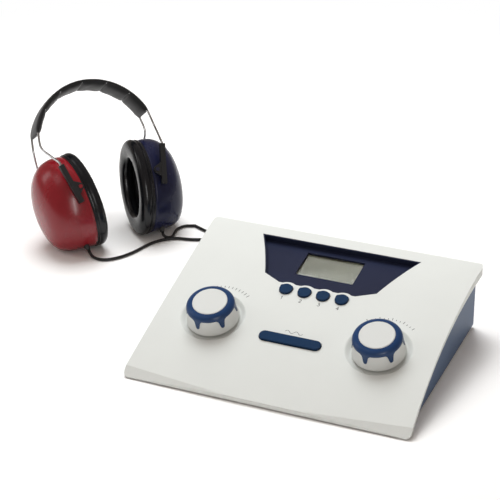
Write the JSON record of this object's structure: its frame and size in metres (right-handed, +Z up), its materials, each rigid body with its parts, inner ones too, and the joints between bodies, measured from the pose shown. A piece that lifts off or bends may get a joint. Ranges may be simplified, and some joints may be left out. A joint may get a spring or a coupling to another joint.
{
  "type": "screening audiometer with headset",
  "caption": "Desktop hearing tester: sloped console with dished dials, keys, tone bar and recessed display, and a noise-excluding headset on two coiled leads.",
  "frame": {"origin": "on the table, under the middle of the set's plan outline without its leads", "axes": "+Z up, +Y from the console's front lip to its rear panel, +X to the console's right; the headset stands on the -X side"},
  "size_m": [0.5358, 0.3634, 0.1638],
  "materials": {
    "cover_white": "smooth light grey-white painted plastic, satin",
    "base_blue": "fine textured blue-grey plastic",
    "rubber_black": "matt",
    "zinc": "zinc plated",
    "display_navy": "satin navy",
    "window_clear": "clear",
    "lcd_grey": "unlit grey-green display",
    "board_green": "solder mask",
    "component_black": "moulded",
    "dial_white": "satin",
    "crown_blue": "gloss blue",
    "shaft_steel": "polished",
    "encoder_metal": "cast",
    "key_navy": "gloss navy",
    "socket_black": "moulded",
    "band_vinyl": "soft black vinyl",
    "wire_steel": "bright steel wire",
    "sleeve_black": "moulded",
    "shell_red": "gloss dark red",
    "shell_blue": "gloss navy blue",
    "cushion_vinyl": "soft glossy black vinyl",
    "earphone_grey": "moulded",
    "foam_dark": "open foam",
    "lead_black": "smooth cable sheath",
    "plug_black": "moulded"
  },
  "bodies": {
    "console": {"top_cover": "cover_white", "base_tray": "base_blue", "feet": "rubber_black", "cover_screws": "zinc", "display_bezel": "display_navy", "display_window": "window_clear", "lcd_module": "lcd_grey", "lcd_board": "board_green", "main_board": "board_green", "board_parts": "component_black", "control_boards": "board_green", "encoders": "encoder_metal", "encoder_nuts": "zinc", "key_switches": "component_black", "tone_switches": "component_black", "phone_sockets": "socket_black", "power_jack": "socket_black", "power_switch": "socket_black", "headband_pad": "band_vinyl", "front_wire": "wire_steel", "rear_wire": "wire_steel", "right_lead_drop": "lead_black", "right_lead_run": "lead_black", "right_lead_coil": "lead_black", "right_lead_tail": "lead_black", "right_plug": "plug_black", "left_lead_drop": "lead_black", "left_lead_run": "lead_black", "left_lead_coil": "lead_black", "left_lead_tail": "lead_black", "left_plug": "plug_black"},
    "level_dial": {"level_knob": "dial_white", "level_knob_crown": "crown_blue", "level_shaft": "shaft_steel"},
    "frequency_dial": {"frequency_knob": "dial_white", "frequency_knob_crown": "crown_blue", "frequency_shaft": "shaft_steel"},
    "key_1": {"function_key_1": "key_navy"},
    "key_2": {"function_key_2": "key_navy"},
    "key_3": {"function_key_3": "key_navy"},
    "key_4": {"function_key_4": "key_navy"},
    "tone_key": {"tone_bar": "key_navy"},
    "rocker": {"power_rocker": "socket_black"},
    "right_slider": {"right_sleeves": "sleeve_black"},
    "right_cup": {"right_shell": "shell_red", "right_pivot_pins": "shell_red", "right_cushion_plate": "sleeve_black", "right_ear_cushion": "cushion_vinyl", "right_earphone": "earphone_grey", "right_foam": "foam_dark", "right_gland": "lead_black"},
    "left_slider": {"left_sleeves": "sleeve_black"},
    "left_cup": {"left_shell": "shell_blue", "left_pivot_pins": "shell_blue", "left_cushion_plate": "sleeve_black", "left_ear_cushion": "cushion_vinyl", "left_earphone": "earphone_grey", "left_foam": "foam_dark", "left_gland": "lead_black"}
  },
  "joints": [
    {"name": "level_turn", "type": "hinge", "parent": "console", "child": "level_dial", "pos_m": [0.03755, -0.10024, 0.03738], "axis": [0, -0.3173, 0.9483], "continuous": true},
    {"name": "frequency_turn", "type": "hinge", "parent": "console", "child": "frequency_dial", "pos_m": [0.20815, -0.10024, 0.03738], "axis": [0, -0.3173, 0.9483], "continuous": true},
    {"name": "key_1_press", "type": "slide", "parent": "console", "child": "key_1", "axis": [0, 0.2594, -0.9658], "range_m": [0, 0.0012], "stiffness_N_per_m": 1200, "springref_m": -0.0012},
    {"name": "key_2_press", "type": "slide", "parent": "console", "child": "key_2", "axis": [0, 0.2594, -0.9658], "range_m": [0, 0.0012], "stiffness_N_per_m": 1200, "springref_m": -0.0012},
    {"name": "key_3_press", "type": "slide", "parent": "console", "child": "key_3", "axis": [0, 0.2594, -0.9658], "range_m": [0, 0.0012], "stiffness_N_per_m": 1200, "springref_m": -0.0012},
    {"name": "key_4_press", "type": "slide", "parent": "console", "child": "key_4", "axis": [0, 0.2594, -0.9658], "range_m": [0, 0.0012], "stiffness_N_per_m": 1200, "springref_m": -0.0012},
    {"name": "tone_press", "type": "slide", "parent": "console", "child": "tone_key", "axis": [0, 0.33, -0.944], "range_m": [0, 0.0015], "stiffness_N_per_m": 1000, "springref_m": -0.0015},
    {"name": "power_rock", "type": "hinge", "parent": "console", "child": "rocker", "pos_m": [0.22685, 0.03756, 0.03], "axis": [1, 0, 0], "range_deg": [0, 16]},
    {"name": "right_height", "type": "slide", "parent": "console", "child": "right_slider", "axis": [0.5985, -0.1678, -0.7833], "range_m": [0, 0.025], "deforming": ["right_lead_drop", "left_lead_drop", "right_lead_run", "left_lead_run"]},
    {"name": "right_tilt", "type": "hinge", "parent": "right_slider", "child": "right_cup", "pos_m": [-0.20726, 0.057, 0.05554], "axis": [0.6324, -0.5012, 0.5906], "range_deg": [-8, 8], "deforming": ["right_lead_drop", "left_lead_drop", "right_lead_run", "left_lead_run"]},
    {"name": "left_height", "type": "slide", "parent": "console", "child": "left_slider", "axis": [0.3001, -0.5444, -0.7833], "range_m": [0, 0.025], "deforming": ["right_lead_drop", "left_lead_drop", "right_lead_run", "left_lead_run"]},
    {"name": "left_tilt", "type": "hinge", "parent": "left_slider", "child": "left_cup", "pos_m": [-0.15022, 0.12897, 0.05554], "axis": [-0.6324, 0.5012, -0.5906], "range_deg": [-8, 8], "deforming": ["right_lead_drop", "left_lead_drop", "right_lead_run", "left_lead_run"]}
  ]
}
